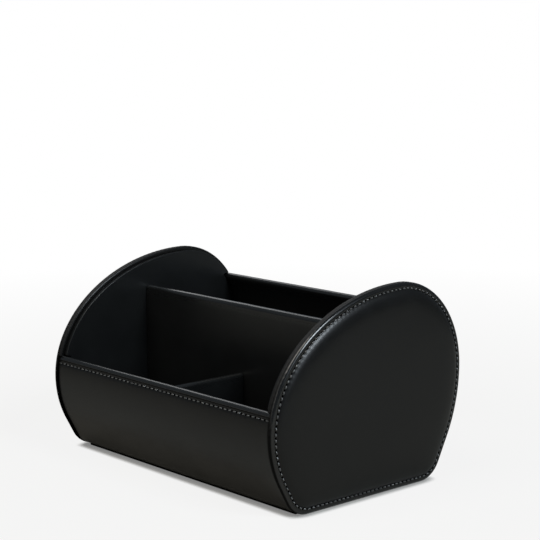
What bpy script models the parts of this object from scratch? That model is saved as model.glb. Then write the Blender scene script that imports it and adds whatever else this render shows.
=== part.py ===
"""Remote control organizer in black leather.

Two padded end caps hold curved front and back walls, a base, a tall divider and a low
cross partition. X runs along the length, the front faces -Y, and the sole rests on Z = 0.
"""
import math

import bmesh
import bpy
from mathutils import Vector

# Overall form: the outline is the side view of an end cap.
SPAN = 0.2066
DEPTH = 0.152
HEIGHT = 0.1215
CROWN_SETBACK = 0.025
FRONT_BULGE_HEIGHT = 0.048
FRONT_BULGE_RADIUS = 0.060
FRONT_RUN_ANGLE = math.radians(28.5)
REAR_BULGE_HEIGHT = 0.066
REAR_BULGE_RADIUS = 0.091
REAR_RUN_ANGLE = math.radians(27.5)
CORNER_RADIUS = 0.0085
RIM_LIFT = 0.0003

# Sheet stock, and the clearance between glued layers.
GAP = 0.0003
LEATHER = 0.0008
CAP_BOARD = 0.0031
WALL_BOARD = 0.0025
BASE_BOARD = 0.0054
DIVIDER_BOARD = 0.0030
PARTITION_BOARD = 0.0024
PANEL_CARD = 0.0014
FLOOR_LINING = 0.0010

# End caps: rim, soft outer edge, stitched flange and foam pad.
RIM_ROUND = 0.0011
EDGE_ROUND = 0.0020
BEND_CUT = 0.0006
RIM_GROOVE = 0.0005
STITCH_INSET = 0.0034
STITCH_VALLEY = 0.00025
PAD_CROWN = 0.0028
FOAM_SHY = 0.0022

# Side panels, which line the caps inside.
PANEL_MARGIN = 0.0025
PANEL_ROUND = 0.0008

# Walls, divider and partition.
CAP_PROUD = 0.0012
FRONT_WALL_TOP = 0.0611
BACK_WALL_TOP = 0.100
BEAD_LEG = 0.0004
BEAD_GROOVE = 0.0005
DIVIDER_FRONT = 0.0081
DIVIDER_TOP = 0.0998
PARTITION_OFFSET = 0.0
PARTITION_TOP = 0.057
CUT_OVERRUN = 0.004

# Facets of each curve.
CORNER_STEPS = 4
BULGE_STEPS = 4
WALL_TOP_STEPS = 5
CROWN_STEPS = 11
ROUND_STEPS = 6
EDGE_STEPS = 4
SHARP_ANGLE = math.radians(35)

# Rings of the pad as shares of the stitched outline, and of the crown's height.
PAD_RING_SHARES = ((0.985, 0.34), (0.955, 0.68), (0.91, 0.90), (0.82, 0.98), (0.5, 1.0))
PAD_MIDDLE_SHARE = 0.5

# Derived layers, each counted inwards from the outline or from the flange.
CAP_THICKNESS = LEATHER + GAP + CAP_BOARD + GAP + LEATHER
CAP_INSIDE_X = SPAN / 2 - CAP_THICKNESS
BOARD_BEND_CUT = BEND_CUT - GAP * (2 - math.sqrt(2))
WALL_END_X = CAP_INSIDE_X - GAP
PANEL_THICKNESS = PANEL_CARD + GAP + LEATHER
PANEL_FACE_X = WALL_END_X - PANEL_THICKNESS
FITTING_END_X = PANEL_FACE_X - GAP
COVER_IN = CAP_PROUD + LEATHER
BOARD_OUT = COVER_IN + GAP
BOARD_IN = BOARD_OUT + WALL_BOARD
LINING_OUT = BOARD_IN + GAP
LINING_IN = LINING_OUT + LEATHER
BEAD_RADIUS = (LINING_IN - CAP_PROUD) / 2
BEAD_MIDDLE = CAP_PROUD + BEAD_RADIUS
DECK = RIM_LIFT + BOARD_OUT + BASE_BOARD
FOOT = DECK + GAP
SOLE_THICKNESS = RIM_LIFT + CAP_PROUD - GAP
DIVIDER_HALF = DIVIDER_BOARD / 2 + GAP + LEATHER
DIVIDER_Y = DIVIDER_HALF - DIVIDER_FRONT
PARTITION_HALF = PARTITION_BOARD / 2 + GAP + LEATHER

# Finishes: colour, roughness and metallic value.
BLACK_LEATHER = ((0.017, 0.017, 0.017), 0.42, 0.0)
LINING_LEATHER = ((0.014, 0.015, 0.015), 0.55, 0.0)
GREY_BOARD = ((0.30, 0.27, 0.22), 0.90, 0.0)
PALE_FOAM = ((0.55, 0.54, 0.50), 0.95, 0.0)
BLACK_FELT = ((0.012, 0.012, 0.012), 1.0, 0.0)


class Side:
    """One half of the outline, from its corner on the base up to the crown."""

    def __init__(self, sign, bulge_height, bulge_radius, run_angle, wall_top):
        self.sign = sign
        self.run_angle = run_angle
        self.bulge_radius = bulge_radius
        self.bulge_centre = Vector((sign * (DEPTH / 2 - bulge_radius), bulge_height))
        self.reach = DEPTH / 2 - sign * CROWN_SETBACK
        self.rise = HEIGHT - bulge_height
        self.run_top = self.bulge_centre + bulge_radius * self.direction(-run_angle)
        corner_z = RIM_LIFT + CORNER_RADIUS
        lean = math.sin(run_angle) * (corner_z - self.run_top.y) - CORNER_RADIUS
        corner_y = self.run_top.x + sign * lean / math.cos(run_angle)
        self.corner_centre = Vector((corner_y, corner_z))
        self.bead_turn = self.turn_where(BEAD_MIDDLE, wall_top - BEAD_RADIUS)

    def direction(self, angle):
        """Outward direction at an angle above the horizontal."""
        return Vector((self.sign * math.cos(angle), math.sin(angle)))

    def normal(self, turn):
        """Outward normal of the upper quarter ellipse."""
        across = self.sign * math.cos(turn) / self.reach
        return Vector((across, math.sin(turn) / self.rise)).normalized()

    def tangent(self, turn):
        """Direction along the upper quarter ellipse, towards the crown."""
        normal = self.normal(turn)
        return Vector((-self.sign * normal.y, self.sign * normal.x))

    def upper_point(self, inset, turn):
        """Point of the upper quarter ellipse, moved inwards."""
        y = CROWN_SETBACK + self.sign * self.reach * math.cos(turn)
        z = self.bulge_centre.y + self.rise * math.sin(turn)
        return Vector((y, z)) - inset * self.normal(turn)

    def turn_where(self, inset, height):
        """Turn of the ellipse at which its inset curve reaches a height."""
        low, high = 0.0, math.pi / 2
        for _ in range(40):
            middle = (low + high) / 2
            if self.upper_point(inset, middle).y < height:
                low = middle
            else:
                high = middle
        return (low + high) / 2

    def corner(self, inset):
        """Rounded corner between the base and the straight run."""
        points = []
        for step in range(CORNER_STEPS + 1):
            share = step / CORNER_STEPS
            angle = -math.pi / 2 + share * (math.pi / 2 - self.run_angle)
            points.append(self.corner_centre + (CORNER_RADIUS - inset) * self.direction(angle))
        return points

    def run_point(self, inset, height):
        """Point of the straight run, moved inwards, at a height."""
        start = self.run_top - inset * self.direction(-self.run_angle)
        drop = start.y - height
        return Vector((start.x - self.sign * drop * math.tan(self.run_angle), height))

    def bulge(self, inset):
        """Arc from the straight run up to the widest point."""
        points = []
        for step in range(BULGE_STEPS + 1):
            angle = -self.run_angle * (1 - step / BULGE_STEPS)
            points.append(self.bulge_centre + (self.bulge_radius - inset) * self.direction(angle))
        return points

    def upper(self, inset, start, end, steps):
        """Stretch of the upper quarter ellipse, moved inwards."""
        turns = [start + (end - start) * step / steps for step in range(steps + 1)]
        return [self.upper_point(inset, turn) for turn in turns]

    def whole(self, inset):
        """The whole side, from the base corner to the crown."""
        below = self.corner(inset) + self.bulge(inset)
        wall = self.upper(inset, 0.0, self.bead_turn, WALL_TOP_STEPS)
        crown = self.upper(inset, self.bead_turn, math.pi / 2, CROWN_STEPS)
        return below + wall[1:] + crown[1:]


FRONT = Side(-1, FRONT_BULGE_HEIGHT, FRONT_BULGE_RADIUS, FRONT_RUN_ANGLE, FRONT_WALL_TOP)
REAR = Side(1, REAR_BULGE_HEIGHT, REAR_BULGE_RADIUS, REAR_RUN_ANGLE, BACK_WALL_TOP)


def cap_outline(inset):
    """Closed outline of an end cap, moved inwards."""
    return REAR.whole(inset) + FRONT.whole(inset)[-2::-1]


def clear_scene():
    for item in list(bpy.data.objects):
        bpy.data.objects.remove(item, do_unlink=True)


def finish_material(name, finish):
    colour, roughness, metallic = finish
    material = bpy.data.materials.new(name + "_finish")
    material.use_nodes = True
    shader = material.node_tree.nodes["Principled BSDF"]
    shader.inputs["Base Color"].default_value = (*colour, 1.0)
    shader.inputs["Roughness"].default_value = roughness
    shader.inputs["Metallic"].default_value = metallic
    return material


def make_object(name, shape, finish):
    """Turn a bmesh into a named object with its own material."""
    bmesh.ops.recalc_face_normals(shape, faces=shape.faces)
    mesh = bpy.data.meshes.new(name)
    shape.to_mesh(mesh)
    shape.free()
    mesh.shade_smooth()
    mesh.set_sharp_from_angle(angle=SHARP_ANGLE)
    mesh.materials.append(finish_material(name, finish))
    item = bpy.data.objects.new(name, mesh)
    bpy.context.collection.objects.link(item)
    return item


def loft(rings):
    """Join closed rings of equal length with quads and close both ends."""
    shape = bmesh.new()
    loops = [[shape.verts.new(point) for point in ring] for ring in rings]
    count = len(loops[0])
    for first, second in zip(loops, loops[1:]):
        for index in range(count):
            after = (index + 1) % count
            shape.faces.new((first[index], first[after], second[after], second[index]))
    shape.faces.new(loops[0])
    shape.faces.new(loops[-1])
    return shape


def extrude_section(section, start, end):
    """Extrude a closed (y, z) section along X."""
    shape = bmesh.new()
    corners = [shape.verts.new((start, point[0], point[1])) for point in section]
    face = shape.faces.new(corners)
    moved = bmesh.ops.extrude_face_region(shape, geom=[face])
    tips = [item for item in moved["geom"] if isinstance(item, bmesh.types.BMVert)]
    bmesh.ops.translate(shape, verts=tips, vec=(end - start, 0, 0))
    return shape


def extrude_across(section, start, end):
    """Extrude a closed (x, z) section along Y."""
    shape = bmesh.new()
    corners = [shape.verts.new((point[0], start, point[1])) for point in section]
    face = shape.faces.new(corners)
    moved = bmesh.ops.extrude_face_region(shape, geom=[face])
    tips = [item for item in moved["geom"] if isinstance(item, bmesh.types.BMVert)]
    bmesh.ops.translate(shape, verts=tips, vec=(0, end - start, 0))
    return shape


def half_round(centre, radius, start, middle):
    """Half circle from one direction over another to the opposite one."""
    points = []
    for step in range(ROUND_STEPS + 1):
        angle = math.pi * step / ROUND_STEPS
        points.append(centre + radius * (math.cos(angle) * start + math.sin(angle) * middle))
    return points


def keep_inside(item, room):
    """Trim an object to the space of a guide solid."""
    trim = item.modifiers.new("trim", "BOOLEAN")
    trim.operation = "INTERSECT"
    trim.solver = "EXACT"
    trim.object = room


def hide_guide(item):
    item.hide_render = True
    item.display_type = "WIRE"


def ring_at(outline, hand, x):
    """Place a (y, z) outline at a distance from the middle, on one hand."""
    return [Vector((hand * x, point[0], point[1])) for point in outline]


def scaled(outline, share):
    """Shrink an outline towards the middle of the cap."""
    middle = Vector((0.0, HEIGHT * PAD_MIDDLE_SHARE))
    return [middle + share * (point - middle) for point in outline]


def pad_rings(hand, lowered):
    """Rings of the pad's crown, from the stitches to the middle, lowered by some layers."""
    stitched = cap_outline(STITCH_INSET)
    rings = []
    for outline_share, rise_share in PAD_RING_SHARES:
        x = SPAN / 2 + PAD_CROWN * rise_share - lowered
        rings.append(ring_at(scaled(stitched, outline_share), hand, x))
    return rings


def cap_cover(name, hand):
    """Outer leather of a cap: half the rim, the stitched flange and the padded face."""
    flange = SPAN / 2
    under = flange - LEATHER
    parting = flange - (CAP_THICKNESS - RIM_GROOVE) / 2
    inner = pad_rings(hand, LEATHER)[::-1]
    inner.append(ring_at(cap_outline(STITCH_INSET), hand, under))
    inner.append(ring_at(cap_outline(LEATHER + BEND_CUT), hand, under))
    inner.append(ring_at(cap_outline(LEATHER), hand, under - BEND_CUT))
    inner.append(ring_at(cap_outline(LEATHER), hand, parting))
    outer = [ring_at(cap_outline(0.0), hand, parting)]
    for step in range(EDGE_STEPS + 1):
        angle = math.pi / 2 * step / EDGE_STEPS
        inset = EDGE_ROUND * (1 - math.cos(angle))
        rise = EDGE_ROUND * (1 - math.sin(angle))
        outer.append(ring_at(cap_outline(inset), hand, flange - rise))
    outer.append(ring_at(cap_outline((EDGE_ROUND + STITCH_INSET) / 2), hand, flange))
    outer.append(ring_at(cap_outline(STITCH_INSET), hand, flange - STITCH_VALLEY))
    make_object(name, loft(inner + outer + pad_rings(hand, 0.0)), BLACK_LEATHER)


def cap_foam(name, hand):
    """Foam pad between the cap's board and its cover."""
    seat = SPAN / 2 - LEATHER
    foot = scaled(cap_outline(STITCH_INSET + FOAM_SHY), PAD_RING_SHARES[0][0])
    crown = pad_rings(hand, LEATHER + GAP)[2:]
    rings = [ring_at(foot, hand, seat), ring_at(foot, hand, seat + PAD_CROWN / 3)]
    make_object(name, loft(rings + crown), PALE_FOAM)


def cap_board(name, hand):
    """Stiff board inside a cap, with its outer arris cut back under the soft edge."""
    outline = cap_outline(LEATHER + GAP)
    outside = SPAN / 2 - LEATHER - GAP
    rings = [
        ring_at(cap_outline(LEATHER + GAP + BOARD_BEND_CUT), hand, outside),
        ring_at(outline, hand, outside - BOARD_BEND_CUT),
        ring_at(outline, hand, outside - CAP_BOARD),
    ]
    make_object(name, loft(rings), GREY_BOARD)


def cap_facing(name, hand):
    """Inner leather of a cap, turned over the inner half of the rim."""
    parting = SPAN / 2 - (CAP_THICKNESS + RIM_GROOVE) / 2
    turned = RIM_ROUND * (1 - math.cos(math.pi / 4))
    rings = [
        ring_at(cap_outline(LEATHER), hand, CAP_INSIDE_X + LEATHER),
        ring_at(cap_outline(LEATHER), hand, parting),
        ring_at(cap_outline(0.0), hand, parting),
        ring_at(cap_outline(0.0), hand, CAP_INSIDE_X + RIM_ROUND),
        ring_at(cap_outline(turned), hand, CAP_INSIDE_X + turned),
        ring_at(cap_outline(RIM_ROUND), hand, CAP_INSIDE_X),
    ]
    make_object(name, loft(rings), BLACK_LEATHER)


def panel_side(side, margin):
    """One side of a side panel: inside the wall below, near the cap's edge above it."""
    low = LINING_IN + GAP + margin
    high = PANEL_MARGIN + margin
    bead = side.upper_point(BEAD_MIDDLE, side.bead_turn)
    above = bead + (BEAD_RADIUS + GAP + margin) * side.tangent(side.bead_turn)
    step_turn = side.turn_where(BEAD_MIDDLE, above.y)
    points = [side.run_point(low, FOOT + margin)] + side.bulge(low)
    points += side.upper(low, 0.0, step_turn, WALL_TOP_STEPS)[1:]
    points += side.upper(high, step_turn, math.pi / 2, CROWN_STEPS)
    return points


def panel_outline(margin):
    return panel_side(REAR, margin) + panel_side(FRONT, margin)[-2::-1]


def panel_lining(name, hand):
    """Leather of a side panel, wrapped over its card."""
    back = WALL_END_X
    rings = [
        ring_at(panel_outline(LEATHER), hand, PANEL_FACE_X + LEATHER),
        ring_at(panel_outline(LEATHER), hand, back),
        ring_at(panel_outline(0.0), hand, back),
        ring_at(panel_outline(0.0), hand, PANEL_FACE_X + PANEL_ROUND),
        ring_at(panel_outline(PANEL_ROUND), hand, PANEL_FACE_X),
    ]
    make_object(name, loft(rings), LINING_LEATHER)


def panel_card(name, hand):
    """Card inside a side panel."""
    outline = panel_outline(LEATHER + GAP)
    rings = [ring_at(outline, hand, WALL_END_X - PANEL_CARD), ring_at(outline, hand, WALL_END_X)]
    make_object(name, loft(rings), GREY_BOARD)


def wall_face(side, inset):
    """One face of a wall, from its foot on the deck up to the bead."""
    top = side.upper(inset, 0.0, side.bead_turn, WALL_TOP_STEPS)
    return [side.run_point(inset, FOOT)] + side.bulge(inset) + top[1:]


def bead_round(side, radius):
    """Half round over the top of a wall, from its inner face to its outer face."""
    centre = side.upper_point(BEAD_MIDDLE, side.bead_turn)
    normal = side.normal(side.bead_turn)
    return half_round(centre, radius, -normal, side.tangent(side.bead_turn))


def wall_board(name, side):
    """Curved board of a wall, standing on the base board."""
    section = wall_face(side, BOARD_IN) + bead_round(side, WALL_BOARD / 2)[1:-1]
    section += wall_face(side, BOARD_OUT)[::-1]
    make_object(name, extrude_section(section, -WALL_END_X, WALL_END_X), GREY_BOARD)


def wall_lining(name, side):
    """Inner leather of a wall, rolled over its top as a bead."""
    leg = BEAD_LEG * side.tangent(side.bead_turn)
    outer_round = bead_round(side, BEAD_RADIUS)
    inner_round = bead_round(side, BEAD_RADIUS - LEATHER)
    section = wall_face(side, LINING_IN) + outer_round[1:] + [outer_round[-1] - leg]
    section += [inner_round[-1] - leg] + inner_round[:0:-1]
    section += wall_face(side, LINING_OUT)[::-1]
    make_object(name, extrude_section(section, -WALL_END_X, WALL_END_X), LINING_LEATHER)


def wall_cover(name, side):
    """Outer leather of a wall, from its stitched edge down and under the base to the seam."""
    bead_foot = bead_round(side, BEAD_RADIUS)[-1]
    edge = bead_foot - (BEAD_LEG + BEAD_GROOVE) * side.tangent(side.bead_turn)
    edge_turn = side.turn_where(CAP_PROUD, edge.y)
    seam = side.sign * GAP / 2
    faces = []
    for inset in (CAP_PROUD, COVER_IN):
        top = side.upper(inset, 0.0, edge_turn, WALL_TOP_STEPS)
        start = Vector((seam, RIM_LIFT + inset))
        faces.append([start] + side.corner(inset) + side.bulge(inset) + top[1:])
    section = faces[0] + faces[1][::-1]
    make_object(name, extrude_section(section, -WALL_END_X, WALL_END_X), BLACK_LEATHER)


def base_board():
    """Base board, with rounded lower edges, which carries the walls and the divider."""
    section = REAR.corner(BOARD_OUT) + [REAR.run_point(BOARD_OUT, DECK)]
    section += [FRONT.run_point(BOARD_OUT, DECK)] + FRONT.corner(BOARD_OUT)[::-1]
    make_object("base_board", extrude_section(section, -WALL_END_X, WALL_END_X), GREY_BOARD)


def base_sole():
    """Felt sole that the organizer rests on."""
    front = FRONT.corner_centre.x
    rear = REAR.corner_centre.x
    section = [(front, 0.0), (rear, 0.0), (rear, SOLE_THICKNESS), (front, SOLE_THICKNESS)]
    make_object("base_sole", extrude_section(section, -WALL_END_X, WALL_END_X), BLACK_FELT)


def sheet_section(middle, half, foot, top):
    """Upright sheet with a rounded top, as points across and up."""
    centre = Vector((middle, top - half))
    arc = half_round(centre, half, Vector((1, 0)), Vector((0, 1)))
    return [Vector((middle + half, foot))] + arc + [Vector((middle - half, foot))]


def folded_section(middle, half, foot, top):
    """Leather folded over an upright sheet, as points across and up."""
    inside = sheet_section(middle, half - LEATHER, foot, top - LEATHER)
    return sheet_section(middle, half, foot, top) + inside[::-1]


def divider():
    """Tall divider between the front row and the tablet slot."""
    core_top = DIVIDER_TOP - LEATHER - GAP
    core = sheet_section(DIVIDER_Y, DIVIDER_BOARD / 2, FOOT, core_top)
    fold = folded_section(DIVIDER_Y, DIVIDER_HALF, FOOT, DIVIDER_TOP)
    end = FITTING_END_X
    make_object("divider_board", extrude_section(core, -end, end), GREY_BOARD)
    make_object("divider_cover", extrude_section(fold, -end, end), LINING_LEATHER)


def front_room():
    """Guide solid: the space between the front wall's lining and the divider."""
    inset = LINING_IN + GAP
    back = DIVIDER_Y - DIVIDER_HALF - GAP
    section = [FRONT.run_point(inset, FOOT - CUT_OVERRUN)] + FRONT.bulge(inset)
    section += FRONT.upper(inset, 0.0, math.pi / 4, WALL_TOP_STEPS)[1:]
    section += [Vector((back, section[-1].y)), Vector((back, FOOT - CUT_OVERRUN))]
    half = PARTITION_HALF + CUT_OVERRUN
    shape = extrude_section(section, PARTITION_OFFSET - half, PARTITION_OFFSET + half)
    room = make_object("front_room_guide", shape, GREY_BOARD)
    hide_guide(room)
    return room


def partition():
    """Low cross partition of the front row, cut to the curve of the front wall."""
    room = front_room()
    core_top = PARTITION_TOP - LEATHER - GAP
    core = sheet_section(PARTITION_OFFSET, PARTITION_BOARD / 2, FOOT, core_top)
    fold = folded_section(PARTITION_OFFSET, PARTITION_HALF, FOOT, PARTITION_TOP)
    front = -DEPTH / 2 - CUT_OVERRUN
    board = make_object("partition_board", extrude_across(core, front, DEPTH / 2), GREY_BOARD)
    cover = make_object("partition_cover", extrude_across(fold, front, DEPTH / 2), LINING_LEATHER)
    keep_inside(board, room)
    keep_inside(cover, room)


def floor_lining(name, front_edge, rear_edge, start, end):
    """Thin lining on the deck of one compartment, between two slanted or upright edges."""
    section = [front_edge[0], rear_edge[0], rear_edge[1], front_edge[1]]
    make_object(name, extrude_section(section, start, end), LINING_LEATHER)


def floor_linings():
    top = FOOT + FLOOR_LINING
    beside = LINING_IN + GAP
    front_wall = [FRONT.run_point(beside, FOOT), FRONT.run_point(beside, top)]
    back_wall = [REAR.run_point(beside, FOOT), REAR.run_point(beside, top)]
    ahead = DIVIDER_Y - DIVIDER_HALF - GAP
    behind = DIVIDER_Y + DIVIDER_HALF + GAP
    divider_front = [Vector((ahead, FOOT)), Vector((ahead, top))]
    divider_rear = [Vector((behind, FOOT)), Vector((behind, top))]
    end = FITTING_END_X
    left = PARTITION_OFFSET - PARTITION_HALF - GAP
    right = PARTITION_OFFSET + PARTITION_HALF + GAP
    floor_lining("front_left_floor_lining", front_wall, divider_front, -end, left)
    floor_lining("front_right_floor_lining", front_wall, divider_front, right, end)
    floor_lining("tablet_slot_floor_lining", divider_rear, back_wall, -end, end)


def build():
    clear_scene()
    for word, hand in (("left", -1), ("right", 1)):
        cap_cover(word + "_cap_cover", hand)
        cap_foam(word + "_cap_foam", hand)
        cap_board(word + "_cap_board", hand)
        cap_facing(word + "_cap_facing", hand)
        panel_card(word + "_side_panel_card", hand)
        panel_lining(word + "_side_panel_lining", hand)
    for word, side in (("front", FRONT), ("back", REAR)):
        wall_board(word + "_wall_board", side)
        wall_cover(word + "_wall_cover", side)
        wall_lining(word + "_wall_lining", side)
    base_board()
    base_sole()
    divider()
    partition()
    floor_linings()


build()
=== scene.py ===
# %% [markdown]
# # A leather remote control organizer
# Two padded, stitched end caps hold a low curved wall in front and a high one behind. Between them
# stand a divider and a low cross partition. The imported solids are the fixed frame: each piece of
# leather below is modelled anew over them, as a maker would cut, fold, pad and stitch it.

# %% Load the frame
import math

import bmesh
import bpy
import numpy as np
from mathutils import Matrix, Vector, kdtree, noise


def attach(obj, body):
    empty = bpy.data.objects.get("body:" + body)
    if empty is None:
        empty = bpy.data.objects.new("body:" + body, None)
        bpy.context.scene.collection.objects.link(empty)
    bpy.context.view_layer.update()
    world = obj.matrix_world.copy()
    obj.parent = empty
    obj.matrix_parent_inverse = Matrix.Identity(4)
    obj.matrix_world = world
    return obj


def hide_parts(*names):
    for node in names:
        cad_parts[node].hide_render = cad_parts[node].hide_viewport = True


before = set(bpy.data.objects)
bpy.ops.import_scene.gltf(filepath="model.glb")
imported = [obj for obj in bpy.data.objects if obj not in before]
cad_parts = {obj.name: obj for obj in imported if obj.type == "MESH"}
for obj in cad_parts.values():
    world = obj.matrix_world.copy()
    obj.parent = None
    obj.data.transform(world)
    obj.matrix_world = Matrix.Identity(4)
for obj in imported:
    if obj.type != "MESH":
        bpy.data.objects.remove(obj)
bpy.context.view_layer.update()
print("CAD nodes:", len(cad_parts))

# %% [markdown]
# ## Sizes
# All lengths are in metres. X runs along the organizer, the front faces -Y, and it stands on Z = 0.
# The side view of a cap is a chain of arcs: a small corner at the base, a straight run, a wide
# bulge, and above it a quarter of an ellipse up to the crown. Front and rear have their own radii.

# %% Sizes
SPAN = 0.2066
DEPTH = 0.152
HEIGHT = 0.1215
CROWN_SETBACK = 0.025
RIM_LIFT = 0.0003
CORNER_RADIUS = 0.017
WALL_CORNER_RADIUS = 0.0115
LEATHER = 0.0008
BEAD_LEATHER = 0.00075
CUT_EDGE = 0.00022
GAP = 0.0003

CAP_FLANGE_X = SPAN / 2
CAP_THICKNESS = 0.0053
CAP_INSIDE_X = CAP_FLANGE_X - CAP_THICKNESS
PARTING_X = CAP_FLANGE_X - 0.0024
WALL_END_X = 0.0977
WALL_SKIN_END_X = PARTING_X - 0.0002
PANEL_FACE_X = 0.0952
FITTING_END_X = 0.0949
RIM_ROUND = 0.0011
EDGE_ROUND = 0.0020
RIM_GROOVE = 0.0005
GROOVE_CLOSED = 0.0002
STITCH_INSET = 0.0034
CAP_MIDDLE = Vector((0.0, 0.0, HEIGHT / 2))

CAP_PROUD = 0.0012
LINING_IN = 0.0059
BEAD_RADIUS = 0.00235
BEAD_INSET = CAP_PROUD + BEAD_RADIUS
BEAD_LEG = 0.0004
BEAD_GROOVE_CLOSED = 0.00005
FOOT = 0.0083
FLOOR_TOP = 0.0093
DIVIDER_Y = -0.0055
DIVIDER_HALF = 0.0026
DIVIDER_TOP = 0.0998
PARTITION_HALF = 0.0023
PARTITION_TOP = 0.057
SOLE_FRONT = -0.0533
SOLE_REAR = 0.0482
SOLE_TOP = 0.0012


class Side:
    """One half of a cap's side view, in the plane X = 0: sign -1 is the front and 1 the rear."""

    def __init__(self, sign, bulge_height, bulge_radius, run_angle, wall_top):
        self.sign = sign
        self.bulge_height = bulge_height
        self.bulge_radius = bulge_radius
        self.run_angle = math.radians(run_angle)
        self.wall_top = wall_top
        self.reach = DEPTH / 2 - sign * CROWN_SETBACK
        self.rise = HEIGHT - bulge_height
        self.bulge_centre = Vector((0, sign * (DEPTH / 2 - bulge_radius), bulge_height))
        self.ellipse_centre = Vector((0, CROWN_SETBACK, bulge_height))

    def run_top(self, inset):
        """Where the straight run, moved inwards, meets the bulge."""
        way = Vector((0, self.sign * math.cos(self.run_angle), -math.sin(self.run_angle)))
        return self.bulge_centre + (self.bulge_radius - inset) * way

    def run_foot(self, inset):
        """Where the straight run, moved inwards, comes down to the height FOOT."""
        top = self.run_top(inset)
        across = top.y - self.sign * (top.z - FOOT) * math.tan(self.run_angle)
        return Vector((0, across, FOOT))

    def corner_centre(self, radius):
        """Centre of the base corner, which touches the base and the straight run."""
        top = self.run_top(0.0)
        height = RIM_LIFT + radius
        lean = math.sin(self.run_angle) * (height - top.z) - radius
        return Vector((0, top.y + self.sign * lean / math.cos(self.run_angle), height))

    def turn_at(self, inset, height):
        """How far round the ellipse its curve, moved inwards, reaches a height."""
        return math.asin((height - self.bulge_height) / (self.rise - inset))

    def upper_point(self, inset, turn):
        across = self.sign * (self.reach - inset) * math.cos(turn)
        up = (self.rise - inset) * math.sin(turn)
        return self.ellipse_centre + Vector((0, across, up))

    def normal(self, inset, turn):
        across = self.sign * math.cos(turn) / (self.reach - inset)
        return Vector((0, across, math.sin(turn) / (self.rise - inset))).normalized()

    def bead(self):
        """Centre of the wall's bead, with the directions out of the wall and up along it."""
        turn = self.turn_at(BEAD_INSET, self.wall_top - BEAD_RADIUS)
        out = self.normal(BEAD_INSET, turn)
        return self.upper_point(BEAD_INSET, turn), out, self.sign * Vector((0, -out.z, out.y))


FRONT = Side(-1, 0.048, 0.060, 28.5, 0.0611)
REAR = Side(1, 0.066, 0.091, 27.5, 0.100)
print("base corners at", [round(side.corner_centre(CORNER_RADIUS).y, 4) for side in (FRONT, REAR)])

# %% [markdown]
# ## Drawing tools
# Every outline here is drawn as with ruler and compasses. A piece starts as a small plane whose
# corners are merged into one point. Extruding that point draws a line, and spinning it draws an arc.
# A quarter of an ellipse is a spun quarter circle, stretched upwards. Spin turns against the usual
# sense of rotation, so its angle is negated in one place, inside `arc`.

# %% Selecting and editing
def only(piece):
    """Deselect everything, and make this piece the one that operators act on."""
    bpy.ops.object.select_all(action="DESELECT")
    piece.select_set(True)
    bpy.context.view_layer.objects.active = piece


def pick_all():
    bpy.ops.mesh.select_all(action="SELECT")


def open_mesh():
    return bmesh.from_edit_mesh(bpy.context.active_object.data)


def pick(kind, chosen):
    """In the open piece, select only the "verts", "edges" or "faces" that a test chooses."""
    bpy.ops.mesh.select_mode(type=kind[:-1].upper())
    bpy.ops.mesh.select_all(action="DESELECT")
    shape = open_mesh()
    for item in getattr(shape, kind):
        item.select = chosen(item)
    shape.select_flush_mode()


def pick_near(place, reach=1e-6):
    pick("verts", lambda vert: (vert.co - place).length < reach)


def open_piece(piece):
    """Open a piece for editing, with all of it selected."""
    only(piece)
    bpy.ops.object.mode_set(mode="EDIT")
    bpy.ops.mesh.select_mode(type="VERT")
    pick_all()


def close_piece():
    bpy.ops.object.mode_set(mode="OBJECT")


def new_piece(name, add_primitive, **sizes):
    """Add a primitive with nothing else selected, name it, and open it."""
    bpy.ops.object.select_all(action="DESELECT")
    add_primitive(location=(0, 0, 0), **sizes)
    piece = bpy.context.active_object
    piece.name = name
    open_piece(piece)
    return piece


def extrude(way):
    """Extrude what is selected in the open piece."""
    bpy.ops.mesh.extrude_region_move(TRANSFORM_OT_translate={"value": way})


# %% Lines and arcs
SPACING = 0.00075
HIDDEN_SPACING = 0.0030
ONE_STEP = 1.0


def start_point(name, place):
    """Open a new piece that is a single point."""
    piece = new_piece(name, bpy.ops.mesh.primitive_plane_add, size=0.01)
    bpy.ops.mesh.merge(type="CENTER")
    bpy.ops.transform.translate(value=place)
    return piece


def tip():
    """The place of the open piece's selected point."""
    return [vert.co.copy() for vert in open_mesh().verts if vert.select][0]


def line_to(target, spacing=SPACING):
    """Draw a straight line on from the selected point."""
    way = target - tip()
    steps = max(1, round(way.length / spacing))
    for _ in range(steps):
        extrude(way / steps)


def arc(centre, angle, spacing=SPACING):
    """Draw an arc on from the selected point, turning from +Y towards +Z where positive."""
    arm = tip() - centre
    arm.x = 0
    steps = max(2, round(abs(angle) * arm.length / spacing))
    place = Vector((tip().x, centre.y, centre.z))
    bpy.ops.mesh.spin(steps=steps, angle=-angle, center=place, axis=(1, 0, 0))


def ellipse_arc(side, inset, turn, spacing=SPACING):
    """Draw the upper quarter, or part of it, as a spun circle that is stretched upwards."""
    bpy.ops.mesh.hide(unselected=True)
    arc(side.ellipse_centre, side.sign * turn, spacing)
    pick_all()
    stretch = (side.rise - inset) / (side.reach - inset)
    bpy.ops.transform.resize(value=(1, 1, stretch), center_override=side.ellipse_centre)
    bpy.ops.mesh.reveal(select=False)
    pick_near(side.upper_point(inset, turn) + Vector((tip().x, 0, 0)), 1e-5)


def climb(side, inset, x, turn, spacing=SPACING):
    """Draw on up the straight run, round the bulge and along the ellipse, all moved inwards."""
    line_to(side.run_top(inset) + Vector((x, 0, 0)), spacing)
    arc(side.bulge_centre, side.sign * side.run_angle, spacing)
    ellipse_arc(side, inset, turn, spacing)


def step_through(side, x, stops):
    """Draw on in straight steps, through (inset, turn) stops on the ellipse."""
    for inset, turn in stops:
        line_to(side.upper_point(inset, turn) + Vector((x, 0, 0)), ONE_STEP)


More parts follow.
